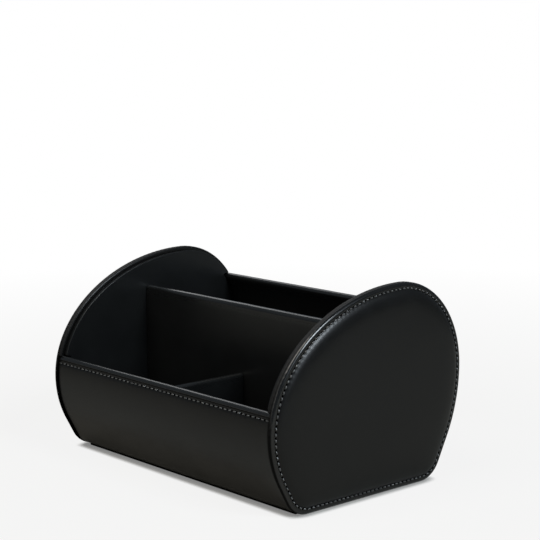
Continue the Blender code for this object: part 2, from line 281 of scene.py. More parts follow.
def draw_side(side, inset, x, turn, spacing=SPACING, corner=CORNER_RADIUS):
    """From a point on the base: round the corner, and on up."""
    centre = side.corner_centre(corner)
    line_to(centre + Vector((x, 0, inset - corner)), spacing)
    arc(centre, side.sign * (math.pi / 2 - side.run_angle), spacing)
    climb(side, inset, x, turn, spacing)


def draw_closed(name, start, draw_half):
    """Draw a closed outline as a rear and a front half that start from one point on the base."""
    piece = start_point(name, start)
    for side in (REAR, FRONT):
        pick_near(start)
        draw_half(side)
    pick_all()
    bpy.ops.mesh.remove_doubles(threshold=1e-5)
    return piece


def draw_cap_outline(name, inset, x, spacing=SPACING):
    """The outline of a cap, moved inwards."""
    start = Vector((x, 0, RIM_LIFT + inset))
    return draw_closed(name, start, lambda side: draw_side(side, inset, x, math.pi / 2, spacing))


# %% [markdown]
# ## The stitched line
# Stitches, needle holes and gathers follow one closed line round a cap. It is drawn once, read back
# as a list of points, and then asked for the place at a distance, or the distance of a place.

# %% Following a drawn line
class Track:
    """A closed line, drawn as a piece, that gives the place and direction at any distance."""

    def __init__(self, piece):
        beside = {vert.index: [] for vert in piece.data.vertices}
        for first, second in (edge.vertices for edge in piece.data.edges):
            beside[first].append(second)
            beside[second].append(first)
        order = [0, beside[0][0]]
        while order[-1] != 0:
            order += [index for index in beside[order[-1]] if index != order[-2]]
        self.points = [piece.data.vertices[index].co.copy() for index in order]
        self.at = [0.0]
        for first, second in zip(self.points, self.points[1:]):
            self.at.append(self.at[-1] + (second - first).length)
        self.length = self.at[-1]
        self.tree = kdtree.KDTree(len(self.points) - 1)
        for index, point in enumerate(self.points[:-1]):
            self.tree.insert(point, index)
        self.tree.balance()

    def place(self, distance):
        distance %= self.length
        index = int(np.searchsorted(self.at, distance, side="right")) - 1
        index = min(index, len(self.points) - 2)
        first, second = self.points[index], self.points[index + 1]
        share = (distance - self.at[index]) / (second - first).length
        return first.lerp(second, share), (second - first).normalized()

    def nearest(self, point):
        """Distance along the line of its nearest point, and how far away that is."""
        _, index, _ = self.tree.find(point)
        found = []
        for start in ((index - 1) % (len(self.points) - 1), index):
            first = self.points[start]
            way = self.points[start + 1] - first
            share = min(max((point - first).dot(way) / way.length_squared, 0), 1)
            found.append(((first + share * way - point).length, self.at[start] + share * way.length))
        away, along = min(found)
        return along, away


measuring_line = draw_cap_outline("measuring_line", STITCH_INSET, 0.0)
close_piece()
STITCH_TRACK = Track(measuring_line)
bpy.data.objects.remove(measuring_line)
print("stitched outline:", round(STITCH_TRACK.length, 4), "m")

# %% [markdown]
# ## Stitch spacing
# The thread lies in equal stitches. The pitch is adjusted a little so that a whole number fits on
# the line: about 3.3 mm round a cap and about 3.9 mm along a wall.

# %% Stitch spacing
WANTED_CAP_PITCH = 0.0033
WANTED_WALL_PITCH = 0.0039
CAP_STITCHES = round(STITCH_TRACK.length / WANTED_CAP_PITCH)
CAP_PITCH = STITCH_TRACK.length / CAP_STITCHES
WALL_GAPS = round(2 * CAP_INSIDE_X / WANTED_WALL_PITCH)
WALL_PITCH = 2 * CAP_INSIDE_X / WALL_GAPS
STITCH_DROP = 0.0042
print("stitches:", CAP_STITCHES, "round a cap,", WALL_GAPS + 1, "along a wall")

# %% [markdown]
# ## Shaping tools
# A padded or rolled form is grown from its outline, face by face. `inset` moves the border of the
# selected face inwards and lifts it, so a list of insets and lifts is a cross-section of the form.
# Past the corner's own radius an inset would fold over itself, so the inner rings of a pad are
# shrunk towards its middle instead.

# %% Growing a form from a face
def fill_outline(hand):
    """Fill the open piece's outline with one face that looks to +X or -X."""
    pick_all()
    bpy.ops.mesh.edge_face_add()
    shape = open_mesh()
    shape.faces.ensure_lookup_table()
    shape.normal_update()
    if shape.faces[0].normal.x * hand < 0:
        bpy.ops.mesh.flip_normals()


def start_cap_form(name, inset, x, straight, spacing=SPACING):
    """Fill a cap's outline with a face, and extrude it straight to +X or -X."""
    piece = draw_cap_outline(name, inset, x, spacing)
    fill_outline(straight)
    extrude((straight, 0, 0))
    return piece


def open_back(x):
    """Delete the face that the first extrusion left in the outline's own plane, and pick its edge."""
    pick("faces", lambda face: len(face.verts) > 100 and abs(face.calc_center_median().x - x) < 1e-6)
    bpy.ops.mesh.delete(type="ONLY_FACE")
    bpy.ops.mesh.select_mode(type="EDGE")
    bpy.ops.mesh.select_all(action="DESELECT")
    bpy.ops.mesh.select_non_manifold(extend=False)


def grow(stations):
    """Inset and lift the selected face through (inset, lift) stations."""
    inset, lift = stations[0]
    for next_inset, next_lift in stations[1:]:
        bpy.ops.mesh.inset(thickness=next_inset - inset, depth=next_lift - lift)
        inset, lift = next_inset, next_lift


def shrink(rings, hand, lift=0.0):
    """Extrude the selection through (share, lift) rings, each shrunk towards a cap's middle."""
    share = 1.0
    for next_share, next_lift in rings:
        extrude((hand * (next_lift - lift), 0, 0))
        size = next_share / share
        bpy.ops.transform.resize(value=(1, size, size), center_override=CAP_MIDDLE)
        share, lift = next_share, next_lift


def crown(rings, lift):
    """Rings to +X that close in a single point."""
    shrink(rings, 1, lift)
    bpy.ops.mesh.merge(type="CENTER")


def quarter_round(radius, steps):
    """Stations of a rounded edge that turns from a side wall onto a face."""
    turns = [math.pi / 2 * step / steps for step in range(steps + 1)]
    return [(radius * (1 - math.cos(turn)), radius * math.sin(turn)) for turn in turns]


# %% Finishing a form
def finish_form(piece, outwards=None):
    """Merge doubles, make the faces look outwards, and shade them smooth.

    An open surface has no inside, so `outwards` says which way a face at a place should look.
    """
    close_piece()
    open_piece(piece)
    bpy.ops.mesh.remove_doubles(threshold=1e-6)
    bpy.ops.mesh.normals_make_consistent(inside=False)
    close_piece()
    faces = piece.data.polygons
    if outwards and sum(face.area * face.normal.dot(outwards(face.center)) for face in faces) < 0:
        open_piece(piece)
        bpy.ops.mesh.flip_normals()
        close_piece()
    bpy.ops.object.shade_smooth()
    return piece


def towards_x(sign):
    return lambda place: Vector((sign, 0, 0))


def give_thickness(piece, thickness=LEATHER, edge=CUT_EDGE, even=True):
    """Turn a surface into leather of an even thickness, with softened cut edges where they show."""
    skin = piece.modifiers.new("thickness", "SOLIDIFY")
    skin.thickness = thickness
    skin.offset = -1
    skin.use_even_offset = even
    if edge:
        soft = piece.modifiers.new("soft_edge", "BEVEL")
        soft.width = edge
        soft.segments = 2
        soft.limit_method = "ANGLE"
        soft.angle_limit = math.radians(55)
    only(piece)
    for modifier in list(piece.modifiers):
        bpy.ops.object.modifier_apply(modifier=modifier.name)


def copy_of(piece):
    """A copy with its own mesh."""
    copy = piece.copy()
    copy.data = piece.data.copy()
    bpy.context.scene.collection.objects.link(copy)
    return copy


def mirrored(piece, outwards=None):
    """A right-hand piece's copy for the left, with its faces turned outwards again."""
    copy = copy_of(piece)
    copy.name = piece.name.replace("right", "left")
    only(copy)
    bpy.ops.transform.mirror(constraint_axis=(True, False, False), center_override=(0, 0, 0))
    bpy.ops.object.transform_apply(location=True, rotation=True, scale=True)
    return finish_form(copy, outwards)


# %% Moving the surface, as when leather is worked by hand
def coordinates(piece, kind="co"):
    """The places of a piece's vertices, or with "normal" their directions, one to a row."""
    flat = np.empty(len(piece.data.vertices) * 3)
    piece.data.vertices.foreach_get(kind, flat)
    return flat.reshape(-1, 3)


def set_places(piece, places):
    piece.data.vertices.foreach_set("co", places.ravel())
    piece.data.update()


def push(piece, depths):
    """Move each vertex along its own normal."""
    set_places(piece, coordinates(piece) + coordinates(piece, "normal") * depths[:, None])


def unevenness(places, size, seed):
    """A soft, seeded unevenness between about -1 and 1, with waves of about a given size."""
    shift = Vector((seed * 7.31, seed * 3.17, seed * 5.71))
    return np.array([noise.noise(Vector(place) / size + shift) for place in places])


def ridge(distance, reach, power=2):
    """1 where the distance is 0, and fading to 0 past the reach."""
    return np.exp(-((distance / reach) ** power))


def ramp(value, width):
    """0 below 0, rising to 1 at the width."""
    return np.clip(value / width, 0, 1)


def hole_waves(steps):
    """1 at the needle holes, which lie at whole steps along a stitched line, and 0 half-way."""
    return 0.5 + 0.5 * np.cos(2 * math.pi * steps)


def mark(piece, name, values):
    """Keep a number per vertex for the material to read. Where a mark is missing it reads 0."""
    kept = piece.data.attributes.new(name, "FLOAT", "POINT")
    kept.data.foreach_set("value", np.asarray(values, np.float32))


def mark_rim(piece, rim):
    """Mark a rim as matt, and mark where a lighter tone is painted on it as it faces up: painted light
    from above.
    """
    mark(piece, "rim", rim)
    mark(piece, "painted_top_light", rim * np.clip(coordinates(piece, "normal")[:, 2], 0, 1))


# %% [markdown]
# ## Padded cap leather
# The outer leather of a cap is drawn tight over a thin foam pad and sewn down 3.4 mm inside the
# edge. Its cross-section, from the parting line on the rim inwards, is a turned lip, the soft
# edge, a narrow flange, the sunken stitch line, and the shoulder and flat crown of the pad. The
# pad is only 2.8 mm high and taut, so a cloth simulation would lose it in its voxels. The form
# is grown ring by ring, and then each stitch pulls small gathers into it.

# %% Cap leather
LIP = ((0.9993, -0.00012), (0.9975, -0.00025), (0.9945, -0.00030))
LIP_DEPTH = 0.00030
FLANGE = ((0.0023, 0.00003), (0.0027, 0.00001), (0.0031, -0.00012), (0.0034, -0.00024),
          (0.0037, -0.00012), (0.0040, 0.00014), (0.0044, 0.00046), (0.0049, 0.00080),
          (0.0055, 0.00112), (0.0063, 0.00145), (0.0072, 0.00173))
PAD_RINGS = ((0.975, 0.00200), (0.95, 0.00224), (0.92, 0.00244), (0.88, 0.00260), (0.83, 0.00270),
             (0.77, 0.00276), (0.69, 0.00279), (0.59, 0.00280), (0.46, 0.00280), (0.33, 0.00280),
             (0.20, 0.00280), (0.09, 0.00280), (0.03, 0.00280))


def lip(hand, x):
    """Turn the cut edge of the leather into the parting groove on the rim."""
    open_back(x)
    shrink(LIP, hand)


def cap_leather():
    """The right cap's outer leather as a surface, before it is worked and given its thickness."""
    back = PARTING_X - GROOVE_CLOSED + LIP_DEPTH
    piece = start_cap_form("right_cap_leather", 0.0, back, CAP_FLANGE_X - EDGE_ROUND - back)
    grow(quarter_round(EDGE_ROUND, 8))
    grow([(EDGE_ROUND, 0.0), *FLANGE])
    crown(PAD_RINGS, FLANGE[-1][1])
    lip(1, back)
    return finish_form(piece, towards_x(1))


# %% Gathers and matt rim of a cap
GATHER_DEPTH = 0.00012
GATHER_REACH = (0.0016, 0.0017)
RIM_RIPPLE = 0.00008
PAD_SWELL = 0.00022
PAD_WAVE = 0.034
SHOULDER_PULL = 0.00006
SHOULDER_WAVE = 0.007
SHOULDER_AWAY = 0.006
SHOULDER_REACH = 0.004
BRIGHT_CORNER = 0.0013
CORNER_BESIDE_WALL = 0.0004
MATT_FADE = 0.0005


def beside_stitches(piece, seed):
    """For each vertex: its side view, its distances along and away, and the stitches' pull."""
    flat = coordinates(piece) * (0.0, 1.0, 1.0)
    along, away = np.array([STITCH_TRACK.nearest(Vector(place)) for place in flat]).T
    pull = hole_waves(along / CAP_PITCH) * (0.75 + 0.45 * unevenness(flat, 0.009, seed))
    return flat, along, away, pull


def work_cap(piece, seed):
    """Pull in the gathers, leave the foam a little uneven, and mark the holes and the matt rim, which
    carries painted light on top and painted shade beside the front wall.
    """
    flat, along, away, pull = beside_stitches(piece, seed)
    middle = np.array(CAP_MIDDLE)
    nearest = np.array([STITCH_TRACK.place(distance)[0] for distance in along])
    inner = np.linalg.norm(flat - middle, axis=1) < np.linalg.norm(nearest - middle, axis=1)
    on_rim = np.abs(coordinates(piece)[:, 0]) < CAP_FLANGE_X - EDGE_ROUND * 0.6
    gathers = GATHER_DEPTH * pull * ridge(away, np.where(inner, GATHER_REACH[1], GATHER_REACH[0]))
    swell = PAD_SWELL * unevenness(flat, PAD_WAVE, seed + 3) * ramp(away - 0.004, 0.02)
    shoulder = ridge(away - SHOULDER_AWAY, SHOULDER_REACH)
    pulls = SHOULDER_PULL * unevenness(flat, SHOULDER_WAVE, seed + 5) * shoulder
    push(piece, (swell + pulls) * inner - gathers - RIM_RIPPLE * pull * on_rim)
    x, y, z = coordinates(piece).T
    # On the right cap, beside the front wall, the matt rim reaches further towards the edge. That strip
    # reflects less: painted shade for the gap between the wall and the cap.
    beside_wall = ramp(FRONT.wall_top - 0.002 - z, 0.006) * (y < 0) * (x > 0)
    corner = BRIGHT_CORNER + (CORNER_BESIDE_WALL - BRIGHT_CORNER) * beside_wall
    rim = ramp(CAP_FLANGE_X - corner - np.abs(x), MATT_FADE)
    mark_rim(piece, rim)
    mark(piece, "edge", ramp(1.6 * away, STITCH_INSET) * ~inner * (1 - rim))
    mark(piece, "hole_step", along / CAP_PITCH)
    mark(piece, "hole_away", np.where(rim > 0, 1.0, away / CAP_PITCH))
    give_thickness(piece, edge=0)


right_cap = cap_leather()
left_cap = mirrored(right_cap, towards_x(-1))
work_cap(right_cap, 1)
work_cap(left_cap, 2)
print("cap leather faces:", len(right_cap.data.polygons))

# %% [markdown]
# ## Inner facing of a cap
# A second leather covers the cap's inside and turns over the inner half of the rim. A fine groove
# stays where the two leathers meet in the middle of the rim. Where a wall's leather and bead pass
# over the rim, the facing is let down to make room for them.

# %% Cap facing
FACE_STATIONS = ((0.0016, 0.0), (0.0022, 0.0), (0.0030, 0.0))
FACING_RIPPLE = 0.00006
BEAD_ROOM = 0.0002


def cap_facing():
    back = PARTING_X - RIM_GROOVE + GROOVE_CLOSED - LIP_DEPTH
    piece = start_cap_form("right_cap_inner_leather", 0.0, back, CAP_INSIDE_X + RIM_ROUND - back)
    grow(quarter_round(RIM_ROUND, 5))
    grow([(RIM_ROUND, 0.0), *FACE_STATIONS])
    lip(-1, back)
    return finish_form(piece, towards_x(-1))


def rim_under_wall(place):
    """How far in from the cap's edge the facing lies, so that a wall's leather can pass over it."""
    side = FRONT if place.y < 0 else REAR
    above = place.z - side.bead()[0].z
    if above > BEAD_RADIUS:
        return 0.0
    if above < 0:
        return CAP_PROUD + LEATHER / 2
    return BEAD_INSET + BEAD_ROOM - math.sqrt(BEAD_RADIUS ** 2 - above ** 2)


def sink_facing(piece):
    """Let the facing's rim down where the walls' leather passes over it."""
    deepest = BEAD_INSET + BEAD_RADIUS / 2
    places = coordinates(piece)
    for place in places:
        flat = Vector((0, place[1], place[2]))
        distance, away = STITCH_TRACK.nearest(flat)
        on_line = STITCH_TRACK.place(distance)[0]
        outside = (flat - CAP_MIDDLE).length > (on_line - CAP_MIDDLE).length
        inset = STITCH_INSET - away if outside else STITCH_INSET + away
        floor = rim_under_wall(flat)
        if floor and inset < deepest and away > 1e-6:
            lowered = floor + inset * (deepest - floor) / deepest
            way = (flat - on_line) / (STITCH_INSET - inset)
            place[1:] = (on_line + way * (STITCH_INSET - lowered))[1:]
    set_places(piece, places)


def work_facing(piece, seed):
    sink_facing(piece)
    pull = beside_stitches(piece, seed)[-1]
    rim = ramp(np.abs(coordinates(piece)[:, 0]) - CAP_INSIDE_X - 0.0003, 0.0006)
    push(piece, -FACING_RIPPLE * pull * rim)
    mark_rim(piece, rim)
    give_thickness(piece, edge=0, even=False)


right_facing = cap_facing()
left_facing = mirrored(right_facing, towards_x(1))
work_facing(right_facing, 1)
work_facing(left_facing, 2)
print("facing faces:", len(right_facing.data.polygons))

# %% [markdown]
# ## Board and foam of a cap
# Both are hidden between the leathers, but they are real pieces. The stiff board keeps clear of the
# rim, where the walls' leather passes. The foam follows the pad's inner side, one leather and a
# clearance below the surface. They are grown as the leather is, from a coarser outline.

# %% Cap board and foam pad
BOARD_INSET = 0.0038
BOARD_INSIDE_X = CAP_INSIDE_X + LEATHER + GAP
BOARD_THICKNESS = 0.0026
FOAM_SEAT_X = CAP_FLANGE_X - LEATHER
FOAM_INSET = STITCH_INSET + 0.0022
FOAM_SIDE = 0.0006
FOAM_SHOULDER = ((0.0, 0.0), (0.0005, 0.00035), (0.0012, 0.00070))
FOAM_RINGS = ((0.955, 0.00100), (0.91, 0.00130), (0.82, 0.00160), (0.6, 0.00172), (0.3, 0.00176),
              (0.05, 0.00176))

right_board = finish_form(start_cap_form("right_cap_stiff_board", BOARD_INSET, BOARD_INSIDE_X,
                                         BOARD_THICKNESS, HIDDEN_SPACING))
left_board = mirrored(right_board)

right_foam = start_cap_form("right_cap_foam_pad", FOAM_INSET, FOAM_SEAT_X, FOAM_SIDE, HIDDEN_SPACING)
grow(FOAM_SHOULDER)
crown(FOAM_RINGS, FOAM_SHOULDER[-1][1])
finish_form(right_foam)
left_foam = mirrored(right_foam)
print("foam reaches", [round(reach, 4) for reach in coordinates(right_foam).max(axis=0)])

# %% [markdown]
# ## Side panel
# A thin leather-covered card lines each cap inside. Above the walls it follows the cap's edge with
# a small margin. Below, it steps in to fit between the walls, so it ends in a small rounded tip
# just above each wall's bead. The tips are drawn sharp and then rounded with a vertex bevel.

# %% Side panel
PANEL_INSET = 0.0025
PANEL_LOW_INSET = LINING_IN + GAP
PANEL_ROUND = 0.0004
TIP_ROUND = 0.0017
TIP_ROOM = 0.0030
TIP_HEIGHT_SLACK = 0.0008
FOOT_SPACING = 0.002


def panel_step(side):
    """Height of the panel's tips, just above a wall's bead."""
    centre, _, upwards = side.bead()
    return (centre + (BEAD_RADIUS + GAP) * upwards).z


def draw_panel_side(side):
    """One side of the panel: inside the wall, out over its bead, and on up to the crown."""
    low, high, step = PANEL_LOW_INSET, PANEL_INSET, panel_step(side)
    line_to(side.run_foot(low) + Vector((WALL_END_X, 0, 0)), FOOT_SPACING)
    climb(side, low, WALL_END_X, side.turn_at(low, step - TIP_ROOM))
    begin = side.turn_at(high, step + TIP_ROOM)
    rest = math.pi / 2 - begin
    count = max(2, round(rest * side.reach / SPACING))
    stops = [(low, side.turn_at(low, step)), (high, side.turn_at(high, step))]
    stops += [(high, begin + rest * index / count) for index in range(count + 1)]
    step_through(side, WALL_END_X, stops)


def is_panel_tip(vert):
    """A sharp corner of the outline, at the height of a panel's tips."""
    ways = [edge.other_vert(vert).co - vert.co for edge in vert.link_edges]
    sharp = len(ways) == 2 and ways[0].angle(ways[1]) < math.radians(135)
    return sharp and min(abs(vert.co.z - panel_step(side)) for side in (FRONT, REAR)) < TIP_HEIGHT_SLACK


def side_panel():
    start = Vector((WALL_END_X, 0, FOOT))
    piece = draw_closed("right_side_panel_leather", start, draw_panel_side)
    pick("verts", is_panel_tip)
    bpy.ops.mesh.bevel(offset=TIP_ROUND, segments=5, affect="VERTICES")
    fill_outline(-1)
    extrude((PANEL_FACE_X + PANEL_ROUND - WALL_END_X, 0, 0))
    grow(quarter_round(PANEL_ROUND, 4) + [(0.00048, PANEL_ROUND)])
    open_back(WALL_END_X)
    return finish_form(piece, towards_x(-1))


right_panel = side_panel()
left_panel = mirrored(right_panel, towards_x(1))
for panel in (right_panel, left_panel):
    give_thickness(panel, edge=0)
print("side panel faces:", len(right_panel.data.polygons))

# %% [markdown]
# ## Walls
# Each wall is a curved board with two leathers. The outer one starts under the base, turns round
# the bottom corner, climbs the bulge and ends in a stitched edge just below the top. The lining
# comes up the inside and rolls over the top as a full round bead. Both are drawn as one line from
# the side and extruded along the organizer, then pushed in where the stitches bite. Near its ends
# the leather lies over the cap's rim and turns down into the parting line.

# %% Extruding a drawn line along the organizer
WALL_COLUMNS = 300
LINING_COLUMNS = 180
DIVIDER_COLUMNS = 120
CROWDED_ENDS = 0.0045
END_TURN = 0.0018
END_DIVE = 0.0009
ROOM_HEIGHT = 0.05


def extrude_along(columns, half):
    """Extrude the open piece's whole line from its place to the opposite one, and close it."""
    pick_all()
    bpy.ops.mesh.extrude_repeat(steps=columns, offset=(2 * half / columns, 0, 0))
    close_piece()


def extrude_wall(columns):
    """Extrude a wall's line, with closer columns near both ends, for the edge that turns in there."""
    extrude_along(columns, WALL_SKIN_END_X)
    piece = bpy.context.active_object
    places = coordinates(piece)
    from_end = WALL_SKIN_END_X - np.abs(places[:, 0])
    share = ramp(from_end, CROWDED_ENDS)
    closer = np.where(from_end < CROWDED_ENDS, CROWDED_ENDS * share * (0.35 + 0.65 * share), from_end)
    places[:, 0] = np.sign(places[:, 0]) * (WALL_SKIN_END_X - closer)
    set_places(piece, places)


def end_turn(places):
    """How far the leather dives where its end turns down beside a cap."""
    share = ramp(np.abs(places[:, 0]) - WALL_SKIN_END_X + END_TURN, END_TURN)
    return -END_DIVE * (1 - np.sqrt(1 - share ** 2))


def end_shade(places):
    """The dull, turned-in strip at each end of a wall."""
    return ramp(np.abs(places[:, 0]) - WALL_SKIN_END_X + 0.0021, 0.0008)


def off_the_ends(places):
    return ramp(WALL_END_X - np.abs(places[:, 0]), 0.004)


# %% Outer leather of a wall
ROW_SINK = 0.00012
ROW_REACH = 0.0008
BITE_DEPTH = 0.00016
BITE_REACH = 0.0013
TURNED_EDGE = 0.00008
SEAM_REACH = 0.0006
BOARD_WAVES = ((0.00010, 0.045), (0.00004, 0.015))
WALL_SPACING = 0.0016
FINE_STRIP = 0.0042
FINE_STEPS = 12


def cover_edge(side):
    """Where the outer leather ends, below the bead's leg and its groove."""
    centre, out, upwards = side.bead()
    return centre + BEAD_RADIUS * out - (BEAD_LEG + BEAD_GROOVE_CLOSED) * upwards


def wall_leather(name, side):
    end = -WALL_SKIN_END_X
    piece = start_point(name, Vector((end, side.sign * GAP / 2, RIM_LIFT + CAP_PROUD)))
    edge = cover_edge(side)
    stop = side.turn_at(CAP_PROUD, edge.z)
    fine = side.turn_at(CAP_PROUD, edge.z - FINE_STRIP)
    draw_side(side, CAP_PROUD, end, fine, WALL_SPACING, WALL_CORNER_RADIUS)
    turns = [fine + (stop - fine) * index / FINE_STEPS for index in range(1, FINE_STEPS + 1)]
    step_through(side, end, [(CAP_PROUD, turn) for turn in turns])
    extrude_wall(WALL_COLUMNS)
    return finish_form(piece, lambda place: Vector((0, place.y, place.z - ROOM_HEIGHT)))


def stitch_row(side):
    """A point of a wall's stitched line, with the surface's normal there."""
    turn = side.turn_at(CAP_PROUD, side.wall_top - STITCH_DROP)
    return side.upper_point(CAP_PROUD, turn), side.normal(CAP_PROUD, turn)


def work_wall(piece, side, seed):
    """Sink the stitched row, pull at its holes, and raise the turned edge above it."""
    places = coordinates(piece)
    away = np.linalg.norm((places - np.array(stitch_row(side)[0]))[:, 1:], axis=1)
    steps = (places[:, 0] + CAP_INSIDE_X) / WALL_PITCH + 0.5
    pull = hole_waves(steps) * (0.8 + 0.4 * unevenness(places, 0.01, seed))
    stitched = ROW_SINK * ridge(away, ROW_REACH) + BITE_DEPTH * pull * ridge(away, BITE_REACH)
    seam = ridge(places[:, 2] - cover_edge(side).z, SEAM_REACH)
    (high, long_wave), (low, short_wave) = BOARD_WAVES
    board = high * unevenness(places, long_wave, seed + 2) + low * unevenness(places, short_wave, seed + 4)
    push(piece, TURNED_EDGE * seam - stitched + board * off_the_ends(places) + end_turn(places))
    mark(piece, "hole_step", steps)
    mark(piece, "hole_away", away / WALL_PITCH)
    mark(piece, "rim", np.maximum(end_shade(places), seam))
    give_thickness(piece)


front_leather = wall_leather("front_wall_leather", FRONT)
back_leather = wall_leather("back_wall_leather", REAR)
work_wall(front_leather, FRONT, 11)
work_wall(back_leather, REAR, 12)
print("front wall faces:", len(front_leather.data.polygons))

# %% [markdown]
# The lining's line runs up the inner side of the wall. At the top it is spun by half a turn about
# the middle of the board, and a short straight leg ends it just above the outer leather's edge.

# %% Wall lining with its bead
LINING_SPACING = 0.0018
BEAD_SPACING = 0.0004
BEAD_REACH = 0.0035
BEAD_UNEVEN = 0.00008
LINING_UNEVEN = 0.00010


def wall_lining(name, side):
    end = -WALL_SKIN_END_X
    piece = start_point(name, side.run_foot(LINING_IN) + Vector((end, 0, 0)))
    centre, out, upwards = side.bead()
    begin = centre - BEAD_RADIUS * out
    climb(side, LINING_IN, end, side.turn_at(LINING_IN, begin.z), LINING_SPACING)
    arc(centre, -side.sign * math.pi, BEAD_SPACING)
    line_to(tip() - BEAD_LEG * upwards, ONE_STEP)
    extrude_wall(LINING_COLUMNS)
    return finish_form(piece, lambda place: Vector((0, -place.y, 0)))


def work_lining(piece, side, seed):
    """Leave the bead and the lining a little uneven, and turn the bead's ends down."""
    places = coordinates(piece)
    from_centre = (places - np.array(side.bead()[0]))[:, 1:]
    bead = ridge(np.linalg.norm(from_centre, axis=1), BEAD_REACH, 4)
    soft = BEAD_UNEVEN * unevenness(places * (1.0, 0.25, 0.25), 0.006, seed) * bead
    soft += LINING_UNEVEN * unevenness(places, 0.035, seed + 1)
    push(piece, soft * off_the_ends(places) + end_turn(places) * bead)
    mark(piece, "edge", bead)
    mark(piece, "rim", end_shade(places))
    give_thickness(piece, thickness=BEAD_LEATHER)


front_lining = wall_lining("front_wall_lining_leather", FRONT)
back_lining = wall_lining("back_wall_lining_leather", REAR)
work_lining(front_lining, FRONT, 21)
work_lining(back_lining, REAR, 22)
print("front lining faces:", len(front_lining.data.polygons))

# %% [markdown]
# ## Divider and partition
# Both are boards with leather folded over the top. The fold is drawn from the end as a line up, a
# half turn and a line down. The partition's front edge then follows the curve of the front wall.

# %% Folded leather
PARTITION_COLUMNS = 40
FLAT_SPACING = 0.004
FOLD_SPACING = 0.0006
FLAT_UNEVEN = 0.00010
FOLD_UNEVEN = 0.00005


def fold_line(name, middle, half, top, x):
    """Draw the fold in the Y-Z plane at X."""
    piece = start_point(name, Vector((x, middle + half, FOOT)))
    line_to(Vector((x, middle + half, top - half)), FLAT_SPACING)
    arc(Vector((x, middle, top - half)), math.pi, FOLD_SPACING)
    line_to(Vector((x, middle - half, FOOT)), FLAT_SPACING)
    return piece


def divider():
    piece = fold_line("divider_leather", DIVIDER_Y, DIVIDER_HALF, DIVIDER_TOP, -FITTING_END_X)
    extrude_along(DIVIDER_COLUMNS, FITTING_END_X)
    return finish_form(piece, lambda place: Vector((0, place.y - DIVIDER_Y, 0)))


def front_lining_y(height):
    """Inner face of the front wall at a height."""
    inset = LINING_IN + GAP
    top = FRONT.run_top(inset)
    if height < top.z:
        return top.y + (top.z - height) * math.tan(FRONT.run_angle)
    if height < FRONT.bulge_height:
        drop = FRONT.bulge_height - height
        return FRONT.bulge_centre.y - math.sqrt((FRONT.bulge_radius - inset) ** 2 - drop ** 2)
    return FRONT.upper_point(inset, FRONT.turn_at(inset, height)).y


def partition():
    """Drawn as a fold of length 1 along X, then turned to run from the front wall to the divider."""
    back = DIVIDER_Y - DIVIDER_HALF - GAP
    piece = fold_line("partition_leather", 0.0, PARTITION_HALF, PARTITION_TOP, 0.0)
    extrude_along(PARTITION_COLUMNS, 0.5)
    share, across, up = coordinates(piece).T
    front = np.array([front_lining_y(height) for height in up])
    set_places(piece, np.stack([across, front + share * (back - front), up], axis=1))
    return finish_form(piece, lambda place: Vector((place.x, 0, 0)))


def work_fold(piece, top, half, seed):
    places = coordinates(piece)
    fold = ridge(places[:, 2] - top, 1.6 * half)
    soft = FLAT_UNEVEN * unevenness(places, 0.03, seed)
    push(piece, soft + FOLD_UNEVEN * fold * unevenness(places, 0.008, seed))
    mark(piece, "edge", fold)
    give_thickness(piece)


divider_leather = divider()
partition_leather = partition()
work_fold(divider_leather, DIVIDER_TOP, DIVIDER_HALF, 31)
work_fold(partition_leather, PARTITION_TOP, PARTITION_HALF, 32)
print("divider from", coordinates(divider_leather).min(axis=0).round(4),
      "to", coordinates(divider_leather).max(axis=0).round(4))

# %% [markdown]
# ## Floor linings and sole
# Thin leather sheets line the floor of each compartment, cut a little smaller than the room and
# slightly crowned by the glue. The sole is dense felt. Each starts as a cube at its size.

# %% Floor linings and sole
SHEET_EDGE = 0.0003
SHEET_WAVE = 0.00008
AHEAD = DIVIDER_Y - DIVIDER_HALF - GAP
BEHIND = DIVIDER_Y + DIVIDER_HALF + GAP
FRONT_FLOOR_Y = front_lining_y(FOOT) + 0.0001
REAR_FLOOR_Y = 0.0508
BESIDE = PARTITION_HALF + GAP


def sheet_piece(name, low, high, cuts):
    """A flat sheet from a cube: resized, softened at the edges, and subdivided for its surface."""
    piece = new_piece(name, bpy.ops.mesh.primitive_cube_add, size=1)
    bpy.ops.transform.resize(value=high - low, center_override=(0, 0, 0))
    bpy.ops.transform.translate(value=(low + high) / 2)
    bpy.ops.mesh.bevel(offset=SHEET_EDGE, segments=3, affect="EDGES")
    pick("faces", lambda face: abs(face.normal.z) > 0.99)
    bpy.ops.mesh.subdivide(number_cuts=cuts)
    return finish_form(piece)


def floor_sheet(name, x0, x1, y0, y1, seed):
    piece = sheet_piece(name, Vector((x0, y0, FOOT)), Vector((x1, y1, FLOOR_TOP)), 24)
    places = coordinates(piece)
    top = places[:, 2] > FLOOR_TOP - 1e-5
    places[:, 2] += SHEET_WAVE * (unevenness(places, 0.02, seed) - 1) * top
    set_places(piece, places)
    return piece


end = FITTING_END_X
floor_left = floor_sheet("front_left_floor_leather", -end, -BESIDE, FRONT_FLOOR_Y, AHEAD, 41)
floor_right = floor_sheet("front_right_floor_leather", BESIDE, end, FRONT_FLOOR_Y, AHEAD, 42)
floor_slot = floor_sheet("tablet_slot_floor_leather", -end, end, BEHIND, REAR_FLOOR_Y, 43)
sole = sheet_piece("felt_sole", Vector((-WALL_END_X, SOLE_FRONT, 0.0)),
                   Vector((WALL_END_X, SOLE_REAR, SOLE_TOP)), 16)
print("floor sheets:", floor_left.name, floor_right.name, floor_slot.name)

# %% [markdown]
# ## Thread
# One stitch is modelled once: a thin cylinder, rounded at its ends and bowed so that it dives into
# its two holes. Copies of it, each with its own mesh, are set along the stitched lines and joined.
# The thread of a cap is thicker than that of a wall.

# %% One stitch
STITCH_BOW = 0.00070
CAP_STITCH_SIZE = (0.0022, 0.00048)
WALL_STITCH_SIZE = (0.0024, 0.00036)


